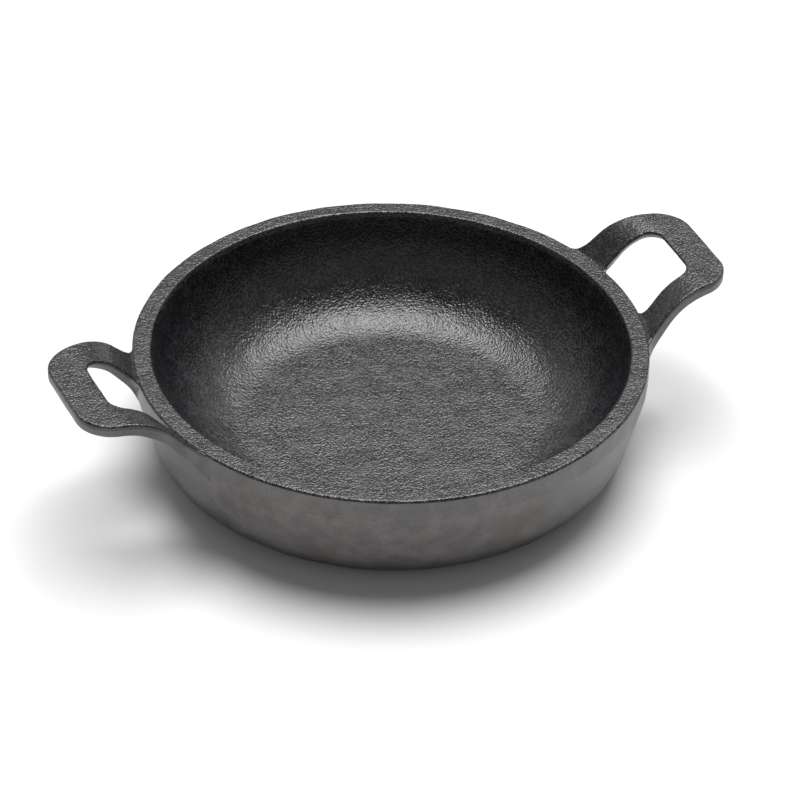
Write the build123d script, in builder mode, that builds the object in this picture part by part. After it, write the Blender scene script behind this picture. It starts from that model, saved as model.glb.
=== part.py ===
"""Small two-handled cast iron skillet.

Frame: millimetres, +Z up, origin at the centre of the flat resting face.
The two loop handles reach out to +X and -X, each a little to the -Y side of the axis.

The skillet is one sand casting with no moving or fastened pieces.  It is written as
the six bodies of metal that a pattern maker would name, and they meet face to face:
the floor disc, the rounded corner ring, the drafted side wall, the upright rim band
above the mould's parting line, and a loop handle on each side of the band.
"""

from build123d import *
import os
from math import radians, tan

# ---------------------------------------------------------------- driving dimensions
# Pan body
BAND_RADIUS = 70.0  # outside of the rim band, the pan's nominal size
PAN_HEIGHT = 31.5  # resting face to rim
BAND_DEPTH = 6.3  # rim down to the parting line
RIM_LAND = 5.4  # width of the rim's flat top, before its edges are rounded
RIM_EDGE_RADIUS = 1.0  # rounding of both edges of the rim
HEEL_RADIUS = 64.0  # where the outer wall and the resting face would meet
HEEL_ROUND = 12.0  # outer rounding between wall and resting face
FLOOR_THICKNESS = 5.0
INNER_DRAFT = 10.5  # lean of the inside wall, degrees from upright
INNER_ROUND = 25.0  # inside rounding between wall and cooking surface
CORNER_HEIGHT = 15.0  # top of the corner ring, where the wall takes over

# Loop handles
GRIP_RISE = 10.7  # top of the grip bar above the rim
GRIP_THICKNESS = 3.4
ARM_ROOT_DROP = 0.4  # top of the arm below the rim, where it leaves the band
ARM_TOP_SLOPE = 49.0  # degrees
ARM_TOP_BEND = 15.0  # bend radius on top
ARM_UNDER_SLOPE = 52.0  # degrees
ARM_UNDER_BEND = 15.0  # bend radius underneath
HANDLE_REACH = 93.9  # pan axis to the outer edge of the grip
TIP_HALF_WIDTH = 17.5  # half the handle's width at its outer edge
ROOT_HALF_WIDTH = 23.2  # half its width where it meets the band
TIP_CORNER_RADIUS = 10.2
ROOT_FLARE_RADIUS = 7.0  # fillet in plan from the handle's side to the band
EYE_REACH = 84.2  # pan axis to the outer edge of the finger hole
EYE_TIP_HALF_WIDTH = 10.9
EYE_ROOT_HALF_WIDTH = 12.2
EYE_CORNER_RADIUS = 4.4
EYE_ROOT_RADIUS = 2.0
HANDLE_EDGE_RADIUS = 0.8  # rounding along the handle's edges
HANDLE_TURN = 1.8  # degrees that each handle is turned from the X axis toward -Y

# ---------------------------------------------------------------- derived dimensions
MOUTH_RADIUS = BAND_RADIUS - RIM_LAND
PARTING_HEIGHT = PAN_HEIGHT - BAND_DEPTH
INNER_CORNER_RADIUS = MOUTH_RADIUS - (PAN_HEIGHT - FLOOR_THICKNESS) * tan(radians(INNER_DRAFT))
FLOOR_RADIUS = INNER_CORNER_RADIUS - INNER_ROUND * tan(radians((90 - INNER_DRAFT) / 2))
GRIP_TOP = PAN_HEIGHT + GRIP_RISE
GRIP_UNDERSIDE = GRIP_TOP - GRIP_THICKNESS
ARM_INSET = 10.0  # how far the handle's raw shapes run in under the band
TOLERANCE = 0.001
ROOT_X = (BAND_RADIUS**2 - ROOT_HALF_WIDTH**2) ** 0.5
SIDE_TAPER = (ROOT_HALF_WIDTH - TIP_HALF_WIDTH) / (HANDLE_REACH - ROOT_X)
EYE_TAPER = (EYE_ROOT_HALF_WIDTH - EYE_TIP_HALF_WIDTH) / (EYE_REACH - BAND_RADIUS)


def corner_nearest(sketch, x, y):
    """The sketch's corner nearest to a point given in the sketch's own coordinates."""
    return sketch.vertices().sort_by_distance((x, y))[0]


def is_upright(edge):
    """True for an edge that runs straight up."""
    rise = edge.position_at(1) - edge.position_at(0)
    return abs(rise.X) < TOLERANCE and abs(rise.Y) < TOLERANCE


def is_on_band(edge):
    """True for an edge that lies on the rim band's outer face."""
    points = [edge.position_at(fraction) for fraction in (0, 0.5, 1)]
    return all(abs((point.X**2 + point.Y**2) ** 0.5 - BAND_RADIUS) < TOLERANCE for point in points)


# ---------------------------------------------------------------- pan body
with BuildSketch(Plane.XZ) as pan_section:
    with BuildLine():
        Polyline(
            (0, 0),
            (HEEL_RADIUS, 0),
            (BAND_RADIUS, PARTING_HEIGHT),
            (BAND_RADIUS, PAN_HEIGHT),
            (MOUTH_RADIUS, PAN_HEIGHT),
            (INNER_CORNER_RADIUS, FLOOR_THICKNESS),
            (0, FLOOR_THICKNESS),
            close=True,
        )
    make_face()
    fillet(corner_nearest(pan_section, HEEL_RADIUS, 0), HEEL_ROUND)
    fillet(corner_nearest(pan_section, INNER_CORNER_RADIUS, FLOOR_THICKNESS), INNER_ROUND)
    fillet(pan_section.vertices().group_by(Axis.Y)[-1], RIM_EDGE_RADIUS)


def keep_between(inner, outer, bottom, top):
    """Trim the sketch in progress to a range of radius and height."""
    with Locations((inner, bottom)):
        Rectangle(outer - inner, top - bottom, align=(Align.MIN, Align.MIN), mode=Mode.INTERSECT)


with BuildPart() as pan_floor:
    with BuildSketch(Plane.XZ):
        add(pan_section.sketch_local)
        keep_between(0, FLOOR_RADIUS, 0, FLOOR_THICKNESS)
    revolve(axis=Axis.Z)

with BuildPart() as corner_ring:
    with BuildSketch(Plane.XZ):
        add(pan_section.sketch_local)
        keep_between(FLOOR_RADIUS, BAND_RADIUS, 0, CORNER_HEIGHT)
    revolve(axis=Axis.Z)

with BuildPart() as side_wall:
    with BuildSketch(Plane.XZ):
        add(pan_section.sketch_local)
        keep_between(FLOOR_RADIUS, BAND_RADIUS, CORNER_HEIGHT, PARTING_HEIGHT)
    revolve(axis=Axis.Z)

with BuildPart() as rim_band:
    with BuildSketch(Plane.XZ):
        add(pan_section.sketch_local)
        keep_between(FLOOR_RADIUS, BAND_RADIUS, PARTING_HEIGHT, PAN_HEIGHT)
    revolve(axis=Axis.Z)

# ---------------------------------------------------------------- loop handle, on +X
# Seen from the side: level grip, and arms that bend down to the band.
arm_root_top = PAN_HEIGHT - ARM_ROOT_DROP
top_bend_x = BAND_RADIUS + (GRIP_TOP - arm_root_top) / tan(radians(ARM_TOP_SLOPE))
under_bend_x = BAND_RADIUS + (GRIP_UNDERSIDE - PARTING_HEIGHT) / tan(radians(ARM_UNDER_SLOPE))
with BuildSketch(Plane.XZ) as handle_side:
    with BuildLine():
        Polyline(
            (BAND_RADIUS - ARM_INSET, arm_root_top - ARM_INSET * tan(radians(ARM_TOP_SLOPE))),
            (top_bend_x, GRIP_TOP),
            (HANDLE_REACH + ARM_INSET, GRIP_TOP),
            (HANDLE_REACH + ARM_INSET, GRIP_UNDERSIDE),
            (under_bend_x, GRIP_UNDERSIDE),
            (BAND_RADIUS - ARM_INSET, PARTING_HEIGHT - ARM_INSET * tan(radians(ARM_UNDER_SLOPE))),
            close=True,
        )
    make_face()
    fillet(corner_nearest(handle_side, top_bend_x, GRIP_TOP), ARM_TOP_BEND)
    fillet(corner_nearest(handle_side, under_bend_x, GRIP_UNDERSIDE), ARM_UNDER_BEND)

# Seen from above: a tapering loop that flares into the band.
HANDLE_PLAN = Plane.XY.rotated((0, 0, -HANDLE_TURN))
with BuildSketch(HANDLE_PLAN) as handle_outline:
    inset_x = ROOT_X - ARM_INSET
    inset_half_width = ROOT_HALF_WIDTH + ARM_INSET * SIDE_TAPER
    with BuildLine():
        Polyline(
            (inset_x, inset_half_width),
            (HANDLE_REACH, TIP_HALF_WIDTH),
            (HANDLE_REACH, -TIP_HALF_WIDTH),
            (inset_x, -inset_half_width),
            close=True,
        )
    make_face()
    fillet(handle_outline.vertices().group_by(Axis.X)[-1], TIP_CORNER_RADIUS)
    Circle(BAND_RADIUS)
    for half_width in (ROOT_HALF_WIDTH, -ROOT_HALF_WIDTH):
        fillet(corner_nearest(handle_outline, ROOT_X, half_width), ROOT_FLARE_RADIUS)
    Circle(BAND_RADIUS, mode=Mode.SUBTRACT)

with BuildSketch(HANDLE_PLAN) as finger_hole:
    inset_x = BAND_RADIUS - ARM_INSET
    inset_half_width = EYE_ROOT_HALF_WIDTH + ARM_INSET * EYE_TAPER
    with BuildLine():
        Polyline(
            (inset_x, inset_half_width),
            (EYE_REACH, EYE_TIP_HALF_WIDTH),
            (EYE_REACH, -EYE_TIP_HALF_WIDTH),
            (inset_x, -inset_half_width),
            close=True,
        )
    make_face()
    fillet(finger_hole.vertices().group_by(Axis.X)[-1], EYE_CORNER_RADIUS)
    Circle(BAND_RADIUS, mode=Mode.SUBTRACT)
    fillet(finger_hole.vertices().group_by(Axis.X)[0], EYE_ROOT_RADIUS)

with BuildPart() as right_handle:
    add(handle_side.sketch)
    revolve(axis=Axis.Z)
    add(handle_outline.sketch)
    extrude(amount=GRIP_TOP + ARM_INSET, mode=Mode.INTERSECT)
    add(finger_hole.sketch)
    extrude(amount=GRIP_TOP + ARM_INSET, mode=Mode.SUBTRACT)
    loop_edges = right_handle.edges().filter_by(lambda edge: not (is_upright(edge) or is_on_band(edge)))
    fillet(loop_edges, HANDLE_EDGE_RADIUS)

with BuildPart() as left_handle:
    mirror(right_handle.part, about=Plane.YZ)

# ---------------------------------------------------------------- write the pieces
pan_floor.part.label = "pan_floor"
corner_ring.part.label = "corner_ring"
side_wall.part.label = "side_wall"
rim_band.part.label = "rim_band"
right_handle.part.label = "right_handle"
left_handle.part.label = "left_handle"

os.makedirs("parts", exist_ok=True)
export_step(pan_floor.part, "parts/pan_floor.step")
export_step(corner_ring.part, "parts/corner_ring.step")
export_step(side_wall.part, "parts/side_wall.step")
export_step(rim_band.part, "parts/rim_band.step")
export_step(right_handle.part, "parts/right_handle.step")
export_step(left_handle.part, "parts/left_handle.step")

for piece in (pan_floor, corner_ring, side_wall, rim_band, right_handle, left_handle):
    size = piece.part.bounding_box().size
    print(f"{piece.part.label}: {piece.part.volume / 1000:.2f} cm3, {len(piece.part.solids())} solid, {size}")
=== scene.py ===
"""Looks of the small two-handled cast iron skillet.

Every piece is a closed mesh built from the CAD part's own dimensions: the pan body is a
section turned about Z, and each handle is a loft between the handle's outline and its
finger hole.  Dimensions are millimetres until a mesh is made, which is in metres.
"""

from math import atan, cos, pi, radians, sin, sqrt, tan

import bpy
import numpy as np
from mathutils import Matrix, Vector


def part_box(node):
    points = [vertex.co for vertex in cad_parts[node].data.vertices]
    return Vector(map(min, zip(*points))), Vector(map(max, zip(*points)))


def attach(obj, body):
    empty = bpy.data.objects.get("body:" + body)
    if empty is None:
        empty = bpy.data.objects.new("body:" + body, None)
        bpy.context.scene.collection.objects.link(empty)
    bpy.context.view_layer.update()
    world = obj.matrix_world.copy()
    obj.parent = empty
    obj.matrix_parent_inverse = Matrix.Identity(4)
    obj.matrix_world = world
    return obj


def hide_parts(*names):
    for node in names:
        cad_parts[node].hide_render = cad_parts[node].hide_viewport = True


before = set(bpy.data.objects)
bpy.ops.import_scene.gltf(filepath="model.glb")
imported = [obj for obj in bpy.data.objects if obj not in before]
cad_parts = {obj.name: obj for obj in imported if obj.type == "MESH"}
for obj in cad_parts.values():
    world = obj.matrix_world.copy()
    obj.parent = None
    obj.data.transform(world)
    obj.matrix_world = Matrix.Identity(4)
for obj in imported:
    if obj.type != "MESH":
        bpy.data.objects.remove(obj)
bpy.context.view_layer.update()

MM = 0.001


# ------------------------------------------------------------------ dimensions, mm
def far_corner(node):
    """The corner of a CAD node's box that is furthest along X, Y and Z, in mm."""
    return np.array(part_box(node)[1]) / MM


FLOOR_RADIUS, _, FLOOR_THICKNESS = far_corner("pan_floor")
CORNER_HEIGHT = far_corner("corner_ring")[2]
PARTING_HEIGHT = far_corner("side_wall")[2]
BAND_RADIUS, _, PAN_HEIGHT = far_corner("rim_band")
HANDLE_END, _, GRIP_TOP = far_corner("right_handle")

RIM_LAND = 5.4
RIM_EDGE_RADIUS = 0.7
HEEL_RADIUS = 64.0  # where the outer wall and the resting face would meet
HEEL_ROUND = 12.0
INNER_DRAFT = radians(10.5)
INNER_ROUND = 25.0  # inside rounding between wall and floor
GRIP_THICKNESS = 3.4
ARM_ROOT_DROP = 0.4
ARM_TOP_SLOPE = radians(49)
ARM_TOP_BEND = 15.0
ARM_UNDER_SLOPE = radians(52)
ARM_UNDER_BEND = 15.0
TIP_HALF_WIDTH = 17.5
ROOT_HALF_WIDTH = 23.2
TIP_CORNER_RADIUS = 10.2
ROOT_FLARE_RADIUS = 7.0
EYE_REACH = 84.2
EYE_TIP_HALF_WIDTH = 10.9
EYE_ROOT_HALF_WIDTH = 12.2
EYE_CORNER_RADIUS = 4.4
EYE_ROOT_RADIUS = 2.0
EYE_UNDERCUT = 2.2  # how much further the finger hole opens on its underside
HANDLE_EDGE_RADIUS = 0.6
HANDLE_TURN = radians(1.8)  # each handle is turned this far from X toward -Y

# The handle's box gives its reach, once its turn and its rounded corners are taken off.
tip_straight = (TIP_HALF_WIDTH - TIP_CORNER_RADIUS) * sin(HANDLE_TURN)
tip_centre = (HANDLE_END - TIP_CORNER_RADIUS - tip_straight) / cos(HANDLE_TURN)
HANDLE_REACH = tip_centre + TIP_CORNER_RADIUS

SEGMENTS = 720  # round the pan
FEWEST_SEGMENTS = 45  # round its smallest rings
FINEST_STEP = 0.27  # shortest step round a ring before its segments are halved
ROW_STEP = 0.5  # along the pan's section, on hidden and flat stretches
FINE_STEP = 0.35  # the same on the outer wall and the band's face
LAND_STEP = 0.3  # the same on the rim's land
FLOOR_STEP = 0.45  # the same on the cooking surface
SWELL = 0.075  # height of the casting's slow unevenness
RIPPLE = 0.02  # height of its finer unevenness
FADE_HEIGHT = 0.5  # the unevenness grows to its full height this far above the resting face

# The wall is set in a little under the parting line.
SET_IN = 0.16
SET_IN_DROP = 0.5  # where it is deepest, below the parting line
SET_IN_WIDTH = 0.45

BODY_CREASE = radians(28)  # edges sharper than this are shaded as edges
HANDLE_CREASE = radians(60)


# ------------------------------------------------------------------ uneven casting surface
def plane_waves(seed, count, shortest, longest):
    """Random directions, wave numbers and phases for a smooth pseudo-random field."""
    rng = np.random.default_rng(seed)
    direction = rng.normal(size=(count, 3))
    direction /= np.linalg.norm(direction, axis=1)[:, None]
    length = rng.uniform(shortest, longest, count)
    return direction * (2 * pi / length)[:, None], rng.uniform(0, 2 * pi, count)


def field(points, waves):
    """The field's value at each point, about -1 to 1."""
    vectors, phases = waves
    total = np.zeros(len(points))
    for vector, phase in zip(vectors, phases):
        total += np.sin(points @ vector + phase)
    return total / sqrt(2 * len(phases))


SWELL_WAVES = plane_waves(3, 22, 7.0, 18.0)
RIPPLE_WAVES = plane_waves(8, 30, 1.9, 3.6)


def unevenness(points):
    """How far the cast surface stands off its true shape at each point, in mm."""
    return SWELL * field(points, SWELL_WAVES) + RIPPLE * field(points, RIPPLE_WAVES)


# ------------------------------------------------------------------ mesh helpers
def arc(centre, radius, start, end, count):
    """Points on an arc from one angle to another, ends included."""
    angle = np.linspace(start, end, count)
    return np.stack([centre[0] + radius * np.cos(angle), centre[1] + radius * np.sin(angle)], 1)


def line(start, end, step):
    """Points on a straight line, ends included, about one step apart."""
    count = max(2, int(round(np.hypot(end[0] - start[0], end[1] - start[1]) / step)) + 1)
    return np.linspace(start, end, count)


def join(*runs):
    """Runs of points end to end, without the repeated ends."""
    kept = [runs[0]]
    for run in runs[1:]:
        kept.append(run[1:])
    return np.concatenate(kept)


def make_piece(name, points, faces, material_index, nodes, crease):
    """A mesh object from points in mm, riding on the part and replacing its CAD nodes."""
    mesh = bpy.data.meshes.new(name)
    mesh.from_pydata((np.asarray(points) * MM).tolist(), [], faces)
    for material in MATERIALS:
        mesh.materials.append(material)
    mesh.polygons.foreach_set("material_index", np.asarray(material_index, dtype=np.int32))
    mesh.polygons.foreach_set("use_smooth", np.ones(len(faces), dtype=bool))
    mesh.set_sharp_from_angle(angle=crease)
    mesh.update()
    piece = bpy.data.objects.new(name, mesh)
    bpy.context.scene.collection.objects.link(piece)
    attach(piece, "root")
    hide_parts(*nodes)
    return piece


# ------------------------------------------------------------------ materials
def new_material(name):
    """An empty node material, with its nodes and links."""
    material = bpy.data.materials.new(name)
    material.use_nodes = True
    return material, material.node_tree.nodes, material.node_tree.links


def noise(nodes, links, where, scale, detail, rough):
    """A noise texture in object space; scale is in waves per metre."""
    texture = nodes.new("ShaderNodeTexNoise")
    texture.inputs["Scale"].default_value = scale
    texture.inputs["Detail"].default_value = detail
    texture.inputs["Roughness"].default_value = rough
    links.new(where, texture.inputs["Vector"])
    return texture.outputs["Fac"]


def spread(nodes, links, value, low, high, out_low, out_high):
    """Stretch the part of a value between low and high over a new range."""
    stretch = nodes.new("ShaderNodeMapRange")
    stretch.interpolation_type = "SMOOTHSTEP"
    stretch.inputs["From Min"].default_value = low
    stretch.inputs["From Max"].default_value = high
    stretch.inputs["To Min"].default_value = out_low
    stretch.inputs["To Max"].default_value = out_high
    links.new(value, stretch.inputs["Value"])
    return stretch.outputs["Result"]


def mix_colour(nodes, links, factor, first, second):
    """Mix two colours; either may be a fixed colour or a socket."""
    mix = nodes.new("ShaderNodeMix")
    mix.data_type = "RGBA"
    links.new(factor, mix.inputs["Factor"])
    for socket, colour in ((mix.inputs[6], first), (mix.inputs[7], second)):
        if isinstance(colour, tuple):
            socket.default_value = (*colour, 1)
        else:
            links.new(colour, socket)
    return mix.outputs[2]


def arithmetic(nodes, links, operation, first, second):
    """One Math node; either input may be a number or a socket."""
    node = nodes.new("ShaderNodeMath")
    node.operation = operation
    for socket, value in zip(node.inputs, (first, second)):
        if isinstance(value, (int, float)):
            socket.default_value = value
        else:
            links.new(value, socket)
    return node.outputs[0]


def bump(nodes, links, height, depth, strength, under=None):
    """A bump layer of the given depth in metres, on top of another one."""
    layer = nodes.new("ShaderNodeBump")
    layer.inputs["Distance"].default_value = depth
    layer.inputs["Strength"].default_value = strength
    links.new(height, layer.inputs["Height"])
    if under is not None:
        links.new(under, layer.inputs["Normal"])
    return layer.outputs["Normal"]


# Sizes of the pattern's layers, in waves per metre.
CLOUD_SCALE = 55
BLOTCH_SCALE = 190
PEBBLE_SCALE = 1350
PORE_SCALE = 1500
SAND_SCALE = 2700

BLOTCH_DEPTH = 0.00008  # metres
IRON_IOR = 1.5


def cast_iron(name, grain, tones, pit_shade, heel_shade, stain_from, shine):
    """Seasoned cast iron.

    grain: depth of the sand-cast grain in metres; tones: the two iron tones; pit: how far
    the tone drops to painted shade in the grain's pits, 0 to 1, in place of their shadow;
    heel_shade: how far painted shade darkens the wall low down, by the heel;
    stain_from: the level of the cloud layer where the brown of the seasoning begins;
    shine: roughness range.
    """
    material, nodes, links = new_material(name)
    shader = nodes["Principled BSDF"]
    where = nodes.new("ShaderNodeTexCoord").outputs["Object"]

    cloud = noise(nodes, links, where, CLOUD_SCALE, 3, 0.55)
    blotch = noise(nodes, links, where, BLOTCH_SCALE, 4, 0.6)
    pebble = noise(nodes, links, where, PEBBLE_SCALE, 1, 0.5)
    sand = noise(nodes, links, where, SAND_SCALE, 1, 0.5)
    pores = nodes.new("ShaderNodeTexVoronoi")
    pores.feature = "SMOOTH_F1"
    pores.inputs["Scale"].default_value = PORE_SCALE
    pores.inputs["Smoothness"].default_value = 0.6
    links.new(where, pores.inputs["Vector"])

    # Grain: pebbles over pores, with a little sand.
    hollow = arithmetic(nodes, links, "MULTIPLY", pores.outputs["Distance"], -0.55)
    pebbled = arithmetic(nodes, links, "ADD", hollow, pebble)
    sanded = arithmetic(nodes, links, "MULTIPLY", sand, 0.35)
    height = arithmetic(nodes, links, "ADD", pebbled, sanded)

    # Colour: two iron tones and brown clouds, with painted shade in the grain's pits and low on the
    # wall by the heel.
    tone = mix_colour(nodes, links, spread(nodes, links, blotch, 0.35, 0.68, 0, 1), *tones)
    stained = spread(nodes, links, cloud, stain_from, stain_from + 0.16, 0, 0.5)
    tone = mix_colour(nodes, links, stained, tone, BROWN)
    # Painted shade: the tone goes to near black in the grain's pits, in place of the shadow their
    # hollows would cast.
    pit_shade_mask = spread(nodes, links, height, 0.37, 0.48, pit_shade, 0)
    tone = mix_colour(nodes, links, pit_shade_mask, tone, PAINTED_SHADE)
    # Painted shade: the outer wall darkens toward the resting face, over the heel.
    if heel_shade:
        level = nodes.new("ShaderNodeSeparateXYZ")
        links.new(where, level.inputs["Vector"])
        low = spread(nodes, links, level.outputs["Z"], 0.001, 0.013, heel_shade, 0)
        tone = mix_colour(nodes, links, low, tone, PAINTED_SHADE)
    links.new(tone, shader.inputs["Base Color"])

    sandy = arithmetic(nodes, links, "MULTIPLY", sand, 0.5)
    uneven = arithmetic(nodes, links, "ADD", sandy, blotch)
    rough = spread(nodes, links, uneven, 0.55, 0.95, *shine)
    links.new(rough, shader.inputs["Roughness"])
    shader.inputs["IOR"].default_value = IRON_IOR

    soft = bump(nodes, links, blotch, BLOTCH_DEPTH, 1.0)
    links.new(bump(nodes, links, height, grain, 1.0, soft), shader.inputs["Normal"])
    return material


# Near black, used as painted shade in the grain's pits and low on the outer wall.
PAINTED_SHADE = (0.004, 0.004, 0.0045)
BROWN = (0.085, 0.060, 0.042)
COOL_DARK = (0.018, 0.018, 0.0205)
COOL_LIGHT = (0.034, 0.034, 0.039)
WARM_DARK = (0.108, 0.104, 0.101)
WARM_LIGHT = (0.154, 0.149, 0.145)

grained_iron = cast_iron(
    "cast_iron_grained", 0.00016, (COOL_DARK, COOL_LIGHT),
    pit_shade=0.95, heel_shade=0, stain_from=0.68, shine=(0.22, 0.30),
)
smooth_iron = cast_iron(
    "cast_iron_smooth", 0.00004, (WARM_DARK, WARM_LIGHT),
    pit_shade=0.1, heel_shade=1.0, stain_from=0.57, shine=(0.32, 0.46),
)
MATERIALS = [grained_iron, smooth_iron]
GRAINED, SMOOTH = 0, 1


# ------------------------------------------------------------------ pan section
# Points are (radius, height), from the middle of the resting face round to the middle of
# the cooking surface.
WALL_ROWS, CORNER_ROWS, EDGE_ROWS = 32, 52, 9  # points down the inside and round a rim edge
mouth_radius = BAND_RADIUS - RIM_LAND
outer_draft = atan((BAND_RADIUS - HEEL_RADIUS) / PARTING_HEIGHT)

heel_run = HEEL_ROUND * tan((pi / 2 - outer_draft) / 2)
heel_centre = (HEEL_RADIUS - heel_run, HEEL_ROUND)
heel_end = arc(heel_centre, HEEL_ROUND, -pi / 2, -outer_draft, 30)[-1]
round_centre = (FLOOR_RADIUS, FLOOR_THICKNESS + INNER_ROUND)
round_end = arc(round_centre, INNER_ROUND, -INNER_DRAFT, -pi / 2, 60)[0]


def outer_radius_at(height):
    """Radius of the outer wall, above the heel's rounding."""
    return HEEL_RADIUS + height * tan(outer_draft)


def inner_radius_at(height):
    """Radius of the inner surface between the floor and the rim."""
    if height > round_end[1]:
        return mouth_radius - (PAN_HEIGHT - height) * tan(INNER_DRAFT)
    return round_centre[0] + sqrt(INNER_ROUND**2 - (round_centre[1] - height) ** 2)


def inner_run(high, low, count):
    """Points down the inner surface from one height to another."""
    return np.array([(inner_radius_at(height), height) for height in np.linspace(high, low, count)])


base = line((0, 0), (FLOOR_RADIUS, 0), ROW_STEP)
heel = join(
    line((FLOOR_RADIUS, 0), (heel_centre[0], 0), ROW_STEP),
    arc(heel_centre, HEEL_ROUND, -pi / 2, -outer_draft, 34),
    line(heel_end, (outer_radius_at(CORNER_HEIGHT), CORNER_HEIGHT), ROW_STEP),
)
outer_wall = line(heel[-1], (BAND_RADIUS, PARTING_HEIGHT), FINE_STEP)
edge_start = PAN_HEIGHT - RIM_EDGE_RADIUS
band_face = line((BAND_RADIUS, PARTING_HEIGHT), (BAND_RADIUS, edge_start), FINE_STEP)
land_end = mouth_radius + RIM_EDGE_RADIUS * tan((pi / 2 + INNER_DRAFT) / 2)
inner_edge = arc((land_end, edge_start), RIM_EDGE_RADIUS, pi / 2, pi - INNER_DRAFT, EDGE_ROWS)
band = join(
    band_face,
    arc((BAND_RADIUS - RIM_EDGE_RADIUS, edge_start), RIM_EDGE_RADIUS, 0, pi / 2, EDGE_ROWS),
    line((BAND_RADIUS - RIM_EDGE_RADIUS, PAN_HEIGHT), (land_end, PAN_HEIGHT), LAND_STEP),
    inner_edge,
    inner_run(inner_edge[-1][1], PARTING_HEIGHT, 11),
)
inner_wall = inner_run(PARTING_HEIGHT, CORNER_HEIGHT, WALL_ROWS)
corner_angle = np.arcsin((round_centre[1] - CORNER_HEIGHT) / INNER_ROUND)
inner_corner_run = arc(round_centre, INNER_ROUND, -corner_angle, -pi / 2, CORNER_ROWS)
cooking_floor = line((FLOOR_RADIUS, FLOOR_THICKNESS), (0, FLOOR_THICKNESS), FLOOR_STEP)

runs = (base, heel, outer_wall, band, inner_wall, inner_corner_run, cooking_floor)
section = join(*runs)
ends = np.cumsum([len(run) - 1 for run in runs])
base_end, heel_top, wall_top, band_end, inner_wall_end, corner_end, centre_end = ends
band_face_end = wall_top + len(band_face) - 1

tangent = np.gradient(section, axis=0)
outward = np.stack([tangent[:, 1], -tangent[:, 0]], 1)
outward /= np.linalg.norm(outward, axis=1)[:, None]

angles = np.linspace(0, 2 * pi, SEGMENTS, endpoint=False)


def ring(row, segments=SEGMENTS):
    """The points of one row of the section turned about Z, with the casting's unevenness."""
    radius, height = section[row]
    angle = angles[:: SEGMENTS // segments]
    around = np.stack([np.cos(angle), np.sin(angle)], 1)
    points = np.column_stack([radius * around, np.full(segments, height)])
    normal = np.column_stack([outward[row][0] * around, np.full(segments, outward[row][1])])
    lift = unevenness(points)
    if height < FADE_HEIGHT:
        lift = lift * height / FADE_HEIGHT
    if row <= wall_top and height > CORNER_HEIGHT:
        below = PARTING_HEIGHT - height
        wander = 0.6 + 0.4 * field(points, SWELL_WAVES)
        lift = lift - SET_IN * wander * np.exp(-((below - SET_IN_DROP) / SET_IN_WIDTH) ** 2)
    return points + normal * lift[:, None]


def turned_piece(name, rows, nodes):
    """A closed ring-shaped piece from a closed list of section rows."""
    points = np.concatenate([ring(row) for row in rows])
    faces, index = [], []
    for i, row in enumerate(rows):
        next_i = (i + 1) % len(rows)
        start, after = i * SEGMENTS, next_i * SEGMENTS
        material = surface_material(row, rows[next_i])
        for j in range(SEGMENTS):
            k = (j + 1) % SEGMENTS
            faces.append((start + j, start + k, after + k, after + j))
            index.append(material)
    return make_piece(name, points, faces, index, nodes, BODY_CREASE)


def row_range(first, last):
    """The section rows from one to another, both included."""
    return list(range(first, last + 1))


def surface_material(row, after):
    """The heel, the outer wall and the band's face are smoother than the rest."""
    on_face = base_end <= row < band_face_end and after <= band_face_end
    return SMOOTH if on_face else GRAINED


turned_piece(
    "skillet_corner",
    row_range(base_end, heel_top) + row_range(inner_wall_end, corner_end),
    ["corner_ring"],
)
turned_piece(
    "skillet_wall",
    row_range(heel_top, wall_top) + row_range(band_end, inner_wall_end),
    ["side_wall"],
)
turned_piece("skillet_rim", row_range(wall_top, band_end), ["rim_band"])


# ------------------------------------------------------------------ floor disc
def disc_rings(rows):
    """Rings from the rim inwards, with fewer points where the ring is small."""
    rings = []
    for row in rows:
        radius = section[row][0]
        segments = SEGMENTS
        while segments > FEWEST_SEGMENTS and radius * 2 * pi / segments < FINEST_STEP:
            segments //= 2
        rings.append((row, segments))
    return rings


def stitch(faces, outer, outer_count, inner, inner_count):
    """Faces between two rings with the same number of points, or twice as many outside."""
    for j in range(inner_count):
        k = (j + 1) % inner_count
        if outer_count == inner_count:
            faces.append((outer + j, outer + k, inner + k, inner + j))
            continue
        middle, far = 2 * j + 1, 2 * k
        faces.append((inner + j, outer + 2 * j, outer + middle))
        faces.append((inner + j, outer + middle, inner + k))
        faces.append((inner + k, outer + middle, outer + far))


def disc_side(rows, centre_row, offset):
    """Points of one side of the disc, and where each of its rings starts and its size."""
    points, starts = [], []
    for row, segments in disc_rings(rows):
        points.append(ring(row, segments))
        starts.append((offset, segments))
        offset += segments
    centre = np.array([[0.0, 0.0, section[centre_row][1]]])
    if centre_row == centre_end:
        centre[0, 2] += unevenness(np.zeros((1, 3)))[0]
    points.append(centre)
    starts.append((offset, 1))
    return points, starts


def side_faces(starts):
    """Faces of one side of the disc, from its rim to its centre point."""
    faces = []
    for (outer, outer_count), (inner, inner_count) in zip(starts[:-2], starts[1:-1]):
        stitch(faces, outer, outer_count, inner, inner_count)
    last, last_count = starts[-2]
    centre = starts[-1][0]
    faces += [(last + j, last + (j + 1) % last_count, centre) for j in range(last_count)]
    return faces


def floor_disc():
    """The cooking surface, the resting face and the edge between them."""
    top_points, top = disc_side(row_range(corner_end, centre_end - 1), centre_end, 0)
    below_top = top[-1][0] + 1
    base_points, bottom = disc_side(row_range(1, base_end)[::-1], 0, below_top)
    faces = [face[::-1] for face in side_faces(top)] + side_faces(bottom)
    stitch(faces, top[0][0], SEGMENTS, bottom[0][0], SEGMENTS)
    return np.concatenate(top_points + base_points), faces


floor_points, floor_faces = floor_disc()
floor_material = [GRAINED] * len(floor_faces)
make_piece("skillet_floor", floor_points, floor_faces, floor_material, ["pan_floor"], BODY_CREASE)


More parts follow.
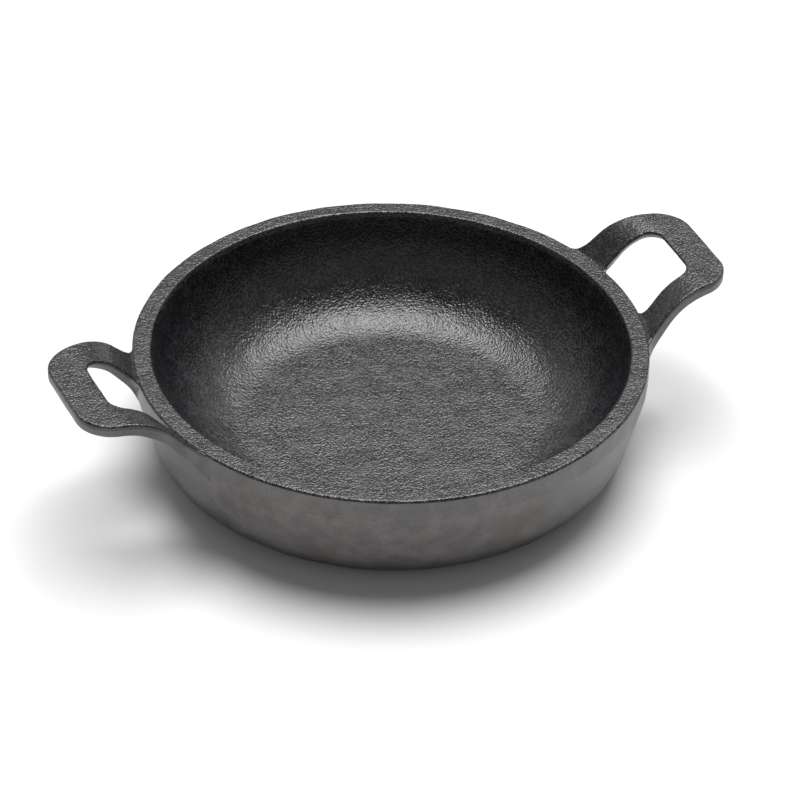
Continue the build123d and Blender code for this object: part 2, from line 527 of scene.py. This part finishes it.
# ------------------------------------------------------------------ handle, on +X
arm_root_top = PAN_HEIGHT - ARM_ROOT_DROP
grip_underside = GRIP_TOP - GRIP_THICKNESS
TOP_FILLET, TOP_FILLET_RISE = 0.9, 0.3  # reach and rise of the fillet from arm up to band
UNDER_FILLET, UNDER_FILLET_DROP = 2.4, 1.2  # reach and drop of the one from arm down to wall


def bent(distance, level, slope, bend, root_height):
    """Height of a line that climbs from the band at a slope and bends round to level."""
    corner = BAND_RADIUS + (level - root_height) / tan(slope)
    run = bend * tan(slope / 2)
    start = corner - run * cos(slope)
    end = corner + run
    climb = root_height + (distance - BAND_RADIUS) * tan(slope)
    curve = level - bend + np.sqrt(np.clip(bend**2 - (distance - end) ** 2, 0, None))
    return np.where(distance < start, climb, np.where(distance < end, curve, level))


def top_height(distance):
    """Top of the handle at a distance from the pan's axis."""
    root = np.clip(1 - (distance - BAND_RADIUS) / TOP_FILLET, 0, 1.3)
    top = bent(distance, GRIP_TOP, ARM_TOP_SLOPE, ARM_TOP_BEND, arm_root_top)
    return top + TOP_FILLET_RISE * root**2


def under_height(distance):
    """Underside of the handle, with a fillet down on to the wall."""
    root = np.clip(1 - (distance - BAND_RADIUS) / UNDER_FILLET, 0, 1.2)
    under = bent(distance, grip_underside, ARM_UNDER_SLOPE, ARM_UNDER_BEND, PARTING_HEIGHT)
    return under - UNDER_FILLET_DROP * root**2


def corner_fillet(first, corner, last, radius):
    """Centre, start angle and end angle of the arc that rounds a corner of straight lines."""
    a = np.array(first, float) - corner
    b = np.array(last, float) - corner
    a /= np.linalg.norm(a)
    b /= np.linalg.norm(b)
    half = np.arccos(a @ b) / 2
    centre = corner + (a + b) / np.linalg.norm(a + b) * radius / sin(half)
    start = corner + a * radius / tan(half) - centre
    end = corner + b * radius / tan(half) - centre
    return centre, np.arctan2(start[1], start[0]), np.arctan2(end[1], end[0])


def root_fillet(point, toward, radius, side):
    """Arc that joins the band's circle to a straight side; side is +1 outside it, -1 inside."""
    along = np.array(toward, float) - point
    along /= np.linalg.norm(along)
    across = np.array([-along[1], along[0]]) * side
    start = np.array(point, float) + across * radius
    half_b = start @ along
    reach = BAND_RADIUS + radius
    travel = -half_b + sqrt(half_b**2 - start @ start + reach**2)
    centre = start + along * travel
    on_band = -centre
    on_side = -across
    return centre, np.arctan2(on_band[1], on_band[0]), np.arctan2(on_side[1], on_side[0])


def short_way(start, end):
    """The end angle that is less than half a turn from the start."""
    return start + (end - start + pi) % (2 * pi) - pi


def half_loop(root, tip, reach, root_radius, tip_radius, side, counts):
    """Half of the loop's outline in plan, from the band to the middle of its outer edge."""
    corner = np.array([reach, tip])
    flare, flare_start, flare_end = root_fillet(root, corner, root_radius, side)
    bend, bend_start, bend_end = corner_fillet(root, corner, (reach, 0), tip_radius)
    flare_arc = arc(flare, root_radius, flare_start, short_way(flare_start, flare_end), counts[0])
    bend_arc = arc(bend, tip_radius, bend_start, short_way(bend_start, bend_end), counts[2])
    side_line = np.linspace(flare_arc[-1], bend_arc[0], counts[1])
    tip_line = np.linspace(bend_arc[-1], (reach, 0), counts[3])
    return join(flare_arc, side_line, bend_arc, tip_line)


COUNTS = (24, 34, 30, 26)  # points on each half loop's flare, side, bend and outer edge
root_x = sqrt(BAND_RADIUS**2 - ROOT_HALF_WIDTH**2)
outer_half = half_loop(
    np.array([root_x, ROOT_HALF_WIDTH]), TIP_HALF_WIDTH, HANDLE_REACH,
    ROOT_FLARE_RADIUS, TIP_CORNER_RADIUS, 1, COUNTS,
)
eye_half = half_loop(
    np.array([BAND_RADIUS, EYE_ROOT_HALF_WIDTH]), EYE_TIP_HALF_WIDTH, EYE_REACH,
    EYE_ROOT_RADIUS, EYE_CORNER_RADIUS, -1, COUNTS,
)


def full_loop(half):
    """Both halves of the outline, from the root at +Y round the tip to the root at -Y."""
    return np.concatenate([half, (half * (1, -1))[-2::-1]])


def into_metal(loop, turn):
    """Unit vectors in plan from the outline into the metal."""
    step = np.gradient(loop, axis=0)
    normal = np.stack([step[:, 1], -step[:, 0]], 1) * turn
    return normal / np.linalg.norm(normal, axis=1)[:, None]


outer_loop, eye_loop = full_loop(outer_half), full_loop(eye_half)
outer_in = into_metal(outer_loop, 1)
eye_in = into_metal(eye_loop, -1)
WIDE_STEPS, ROUND_STEPS, SIDE_STEPS = 26, 6, 8
GROOVE_DEPTH, GROOVE_DROP, GROOVE_WIDTH = 0.22, 0.28, 0.22
GROOVE_STEPS = (0.04, 0.08, 0.12, 0.17)  # closer points down a side face, where the groove is
ROOT_SINK = 1.2  # how far the loop's ends run into the band
FACE_COUNT = len(GROOVE_STEPS) + SIDE_STEPS - 1  # points down a side face
TOP_END = FACE_COUNT + 2 * ROUND_STEPS + WIDE_STEPS  # points to the end of the top


def handle_section(i):
    """The closed section of the loop at one place along it."""
    radius = HANDLE_EDGE_RADIUS
    outside, inside = outer_loop[i], eye_loop[i]
    section_points = []

    def place(edge, normal, inset, side, amount):
        """A point some way in from an edge, a drop below the top or a rise above the underside."""
        plan = edge + normal * inset
        distance = np.hypot(*plan)
        height = top_height(distance) - amount if side == "top" else under_height(distance) + amount
        section_points.append((plan[0], plan[1], float(height)))

    def side_face(edge, normal, undercut, downward):
        """Points up or down a side, with the groove that the mould leaves under its top edge."""
        distance = np.hypot(*edge)
        high = float(top_height(distance)) - radius
        low = float(under_height(distance)) + radius
        steps = np.concatenate([GROOVE_STEPS, np.linspace(0, 1, SIDE_STEPS + 2)[2:-1]])
        for t in steps if downward else steps[::-1]:
            height = high + (low - high) * t
            groove = GROOVE_DEPTH * np.exp(-(((high - height) - GROOVE_DROP) / GROOVE_WIDTH) ** 2)
            point = edge + normal * (undercut * t + groove)
            section_points.append((point[0], point[1], height))

    def rounded(edge, normal, side, inset, outwards):
        """Points round an edge."""
        turns = np.linspace(0, pi / 2, ROUND_STEPS)
        for t in turns[::-1] if outwards else turns:
            place(edge, normal, inset + radius * (1 - cos(t)), side, radius * (1 - sin(t)))

    side_face(outside, outer_in[i], 0, False)
    rounded(outside, outer_in[i], "top", 0, False)
    outer_lip = outside + outer_in[i] * radius
    inner_lip = inside + eye_in[i] * radius
    across = np.linspace(0, 1, WIDE_STEPS + 2)[1:-1]
    for t in across:
        plan = outer_lip + (inner_lip - outer_lip) * t
        section_points.append((plan[0], plan[1], float(top_height(np.hypot(*plan)))))
    rounded(inside, eye_in[i], "top", 0, True)
    side_face(inside, eye_in[i], EYE_UNDERCUT, True)
    rounded(inside, eye_in[i], "under", EYE_UNDERCUT, False)
    inner_lip = inside + eye_in[i] * (EYE_UNDERCUT + radius)
    for t in across[::-1]:
        plan = outer_lip + (inner_lip - outer_lip) * t
        section_points.append((plan[0], plan[1], float(under_height(np.hypot(*plan)))))
    rounded(outside, outer_in[i], "under", 0, True)
    return np.array(section_points)


def sunk_root(points):
    """The loop's end section moved a little into the band, so that no edge of it shows."""
    return points - np.array([ROOT_SINK, 0, 0])


sections = [handle_section(i) for i in range(len(outer_loop))]
sections = [sunk_root(sections[0])] + sections + [sunk_root(sections[-1])]
around = len(sections[0])
handle_points = np.concatenate(sections)
handle_faces, handle_material = [], []
for i in range(len(sections) - 1):
    start, after = i * around, (i + 1) * around
    for j in range(around):
        k = (j + 1) % around
        handle_faces.append((start + j, start + k, after + k, after + j))
        handle_material.append(GRAINED if FACE_COUNT <= j < TOP_END - 1 else SMOOTH)
for start in (0, (len(sections) - 1) * around):
    middle = len(handle_points)
    handle_points = np.vstack([handle_points, handle_points[start:start + around].mean(0)])
    cap = [(start + j, start + (j + 1) % around, middle) for j in range(around)]
    handle_faces += [face[::-1] for face in cap] if start == 0 else cap
    handle_material += [SMOOTH] * around
turn_cos, turn_sin = cos(HANDLE_TURN), sin(HANDLE_TURN)
handle_turn = np.array([(turn_cos, -turn_sin, 0), (turn_sin, turn_cos, 0), (0, 0, 1)])
handle_points = handle_points @ handle_turn


def vertex_normals(points, faces):
    """Area-weighted normals of a mesh."""
    mesh = bpy.data.meshes.new("measure")
    mesh.from_pydata(points.tolist(), [], faces)
    mesh.update()
    normals = np.zeros(len(points) * 3, np.float32)
    mesh.vertices.foreach_get("normal", normals)
    bpy.data.meshes.remove(mesh)
    return normals.reshape(-1, 3)


def uneven_handle(side):
    """The handle's points on one side of the pan, with their own unevenness."""
    points = handle_points * (side, 1, 1)
    faces = handle_faces if side == 1 else [face[::-1] for face in handle_faces]
    normals = vertex_normals(points, faces)
    return points + normals * unevenness(points)[:, None], faces


HANDLES = ((1, "skillet_handle_right", "right_handle"), (-1, "skillet_handle_left", "left_handle"))
for side, name, node in HANDLES:
    points, faces = uneven_handle(side)
    make_piece(name, points, faces, handle_material, [node], HANDLE_CREASE)


# ------------------------------------------------------------------ floor and light
STUDIO_HALF = 6.0  # half the studio floor's width, in metres
STUDIO_TONE = 0.66


def stage_floor():
    """A plain pale floor."""
    mesh = bpy.data.meshes.new("studio_floor")
    corners = [(x * STUDIO_HALF, y * STUDIO_HALF, 0) for x, y in ((-1, -1), (1, -1), (1, 1), (-1, 1))]
    mesh.from_pydata(corners, [], [(0, 1, 2, 3)])
    material, nodes, links = new_material("studio_white")
    shader = nodes["Principled BSDF"]
    shader.inputs["Base Color"].default_value = (STUDIO_TONE, STUDIO_TONE, STUDIO_TONE, 1)
    shader.inputs["Roughness"].default_value = 0.9
    shader.inputs["Specular IOR Level"].default_value = 0.0
    mesh.materials.append(material)
    floor = bpy.data.objects.new("studio_floor", mesh)
    bpy.context.scene.collection.objects.link(floor)


VIEW_AZIMUTH = radians(24.59)  # the pan's handle axis is turned this far from the picture plane

# name, elevation and azimuth as the camera sees it, apparent width, strength
SOFTBOXES = (
    ("key_softbox", radians(71), radians(84), radians(42), 4.45),
    ("right_softbox", radians(42), radians(52), radians(46), 0.42),
    ("left_softbox", radians(40), radians(128), radians(46), 0.33),
)
FRONT_GLOW, BACK_GLOW = 0.40, 0.32  # the backdrop's strength before and behind the pan
CEILING_SHARE = 0.15  # the ceiling's strength beside the backdrop's


def softbox(name, elevation, azimuth, width, strength):
    """A soft light from far off, so that the whole floor is lit alike."""
    light = bpy.data.lights.new(name, "SUN")
    light.energy = strength
    light.angle = width
    lamp = bpy.data.objects.new(name, light)
    bpy.context.scene.collection.objects.link(lamp)
    turned = azimuth - VIEW_AZIMUTH
    toward = Vector((cos(elevation) * cos(turned), cos(elevation) * sin(turned), sin(elevation)))
    lamp.rotation_mode = "QUATERNION"
    lamp.rotation_quaternion = toward.to_track_quat("Z", "Y")


def surround():
    """A grey backdrop round the horizon, under a dim ceiling.  The camera sees it as white."""
    world = bpy.data.worlds.new("surround")
    bpy.context.scene.world = world
    world.use_nodes = True
    nodes, links = world.node_tree.nodes, world.node_tree.links
    background = nodes["Background"]
    where = nodes.new("ShaderNodeTexCoord").outputs["Generated"]
    behind = nodes.new("ShaderNodeVectorMath")
    behind.operation = "DOT_PRODUCT"
    behind.inputs[1].default_value = (sin(VIEW_AZIMUTH), cos(VIEW_AZIMUTH), 0.0)
    links.new(where, behind.inputs[0])
    backdrop = spread(nodes, links, behind.outputs["Value"], -0.6, 0.8, FRONT_GLOW, BACK_GLOW)
    level = nodes.new("ShaderNodeSeparateXYZ")
    links.new(where, level.inputs["Vector"])
    below_ceiling = spread(nodes, links, level.outputs["Z"], 0.60, 0.88, 1.0, CEILING_SHARE)
    glow = arithmetic(nodes, links, "MULTIPLY", backdrop, below_ceiling)
    lit = nodes.new("ShaderNodeLightPath").outputs["Is Camera Ray"]
    links.new(arithmetic(nodes, links, "MAXIMUM", glow, lit), background.inputs["Strength"])
    background.inputs["Color"].default_value = (1, 1, 1, 1)


stage_floor()
for box in SOFTBOXES:
    softbox(*box)
surround()

# ------------------------------------------------------------------ camera
CAMERA_ELEVATION = radians(36.32)
CAMERA_ROLL = radians(1.33)
CAMERA_DISTANCE = 11.60  # in band radii, from the middle of the rim's plane
CAMERA_ASIDE = (-0.034, 0.225)  # the rim's middle in the picture plane, in band radii


def make_camera():
    """A long lens on the pan's near side, aimed past the middle of the rim's plane."""
    camera = bpy.data.cameras.new("camera")
    camera.lens = 135
    camera.sensor_width = 36
    back = Vector((0, -cos(CAMERA_ELEVATION), sin(CAMERA_ELEVATION)))
    right = Vector((1, 0, 0))
    up = back.cross(right)
    rolled_right = right * cos(CAMERA_ROLL) + up * sin(CAMERA_ROLL)
    rolled_up = up * cos(CAMERA_ROLL) - right * sin(CAMERA_ROLL)
    turn = Matrix.Rotation(-VIEW_AZIMUTH, 3, "Z")
    axes = [turn @ axis for axis in (rolled_right, rolled_up, back)]
    unit = BAND_RADIUS * MM
    offset = Vector((-CAMERA_ASIDE[0], -CAMERA_ASIDE[1], CAMERA_DISTANCE)) * unit
    place = Vector((0, 0, PAN_HEIGHT * MM))
    for axis, amount in zip(axes, offset):
        place += axis * amount
    holder = bpy.data.objects.new("camera", camera)
    bpy.context.scene.collection.objects.link(holder)
    rotation = Matrix(axes).transposed().to_4x4()
    holder.matrix_world = Matrix.Translation(place) @ rotation
    camera.clip_start = 0.01
    camera.clip_end = 30
    bpy.context.scene.camera = holder


make_camera()
bpy.context.scene.view_settings.view_transform = "Standard"
